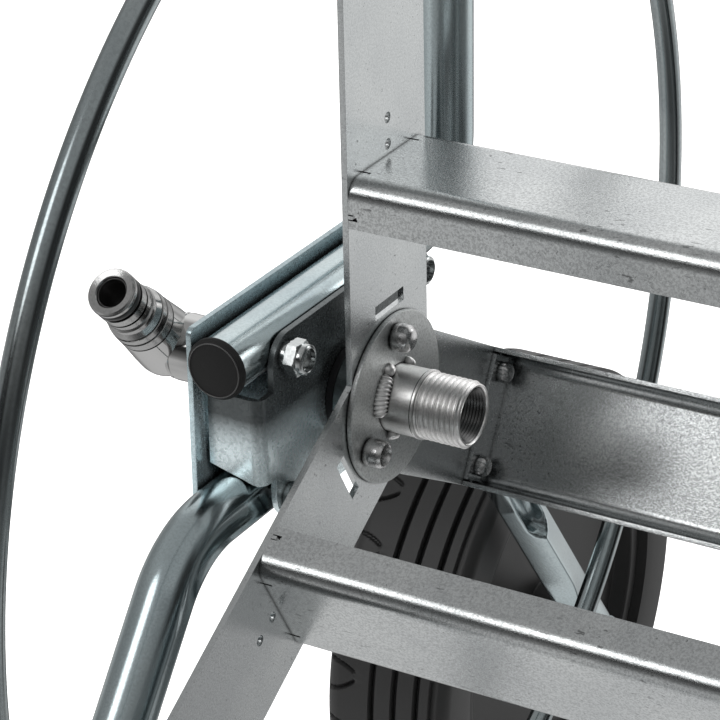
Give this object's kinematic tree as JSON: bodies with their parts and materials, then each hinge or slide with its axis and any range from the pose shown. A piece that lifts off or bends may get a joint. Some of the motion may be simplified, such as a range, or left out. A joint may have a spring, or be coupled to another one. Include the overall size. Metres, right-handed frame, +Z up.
{
  "type": "mobile hose reel",
  "caption": "Two-wheeled hose reel with a wire-rimmed sheet drum, hand crank, swivel water inlet, tube handle and front foot hoop.",
  "frame": {"origin": "middle of the hose drum on its axis", "axes": "+X along the drum axis from the inlet side to the crank side, +Y to the back where the wheels are, +Z up"},
  "size_m": [0.5004, 0.596, 0.869],
  "materials": {
    "zinc_plate": "bright zinc plated, faintly blue",
    "chrome_plate": "nickel-chrome plated brass, turned",
    "black_plastic": "matt moulded",
    "bearing_plastic": "moulded acetal",
    "black_rubber": "matt",
    "grip_foam": "fine foam",
    "knob_plastic": "matt moulded",
    "tyre_rubber": "matt",
    "wheel_plastic": "satin moulded"
  },
  "bodies": {
    "frame": {"outer_plate_left": "zinc_plate", "inner_plate_left": "zinc_plate", "bearing_left": "bearing_plastic", "ring_nut_left": "zinc_plate", "outer_plate_right": "zinc_plate", "inner_plate_right": "zinc_plate", "bearing_right": "bearing_plastic", "ring_nut_right": "zinc_plate", "frame_bolts_left": "zinc_plate", "frame_bolts_right": "zinc_plate", "lock_nuts_left": "zinc_plate", "lock_nuts_right": "zinc_plate", "handle_tube": "zinc_plate", "tube_caps": "black_plastic", "handle_grip": "grip_foam", "front_leg": "zinc_plate", "foot_sleeves": "black_rubber", "rear_strut_left": "zinc_plate", "rear_strut_right": "zinc_plate", "axle": "zinc_plate", "axle_spacers": "zinc_plate", "axle_caps": "black_plastic"},
    "drum": {"arm_left_up": "zinc_plate", "arm_left_front": "zinc_plate", "arm_left_rear": "zinc_plate", "arm_right_up": "zinc_plate", "arm_right_front": "zinc_plate", "arm_right_rear": "zinc_plate", "core_channel_up": "zinc_plate", "core_channel_front": "zinc_plate", "core_channel_rear": "zinc_plate", "channel_rivets_left": "zinc_plate", "hub_rivets_left": "zinc_plate", "channel_rivets_right": "zinc_plate", "hub_rivets_right": "zinc_plate", "hub_disc_left": "zinc_plate", "hub_disc_right": "zinc_plate", "rim_ring_left": "zinc_plate", "rim_ring_right": "zinc_plate", "inlet_shaft": "zinc_plate", "swivel_o_ring": "black_rubber", "swivel_circlip": "zinc_plate", "crank_shaft": "zinc_plate", "spacer_sleeve_left": "zinc_plate", "spacer_sleeve_right": "zinc_plate", "crank_arm": "zinc_plate", "crank_bolt": "zinc_plate", "knob_pin": "zinc_plate"},
    "crank_knob": {"crank_knob": "knob_plastic"},
    "inlet": {"union_nut": "chrome_plate", "inlet_elbow": "chrome_plate", "quick_plug": "chrome_plate", "plug_o_ring": "black_rubber"},
    "wheel_left": {"wheel_rim_left": "wheel_plastic", "tyre_left": "tyre_rubber"},
    "wheel_right": {"wheel_rim_right": "wheel_plastic", "tyre_right": "tyre_rubber"}
  },
  "joints": [
    {"name": "drum_spin", "type": "hinge", "parent": "frame", "child": "drum", "pos_m": [0, 0, 0], "axis": [1, 0, 0], "continuous": true},
    {"name": "crank_knob_spin", "type": "hinge", "parent": "drum", "child": "crank_knob", "pos_m": [0.222, 0, -0.115], "axis": [1, 0, 0], "continuous": true},
    {"name": "inlet_swivel", "type": "hinge", "parent": "frame", "child": "inlet", "pos_m": [-0.2115, 0, 0], "axis": [1, 0, 0], "continuous": true},
    {"name": "wheel_left_spin", "type": "hinge", "parent": "frame", "child": "wheel_left", "pos_m": [-0.193, 0.199, -0.1945], "axis": [1, 0, 0], "continuous": true},
    {"name": "wheel_right_spin", "type": "hinge", "parent": "frame", "child": "wheel_right", "pos_m": [0.193, 0.199, -0.1945], "axis": [1, 0, 0], "continuous": true}
  ]
}
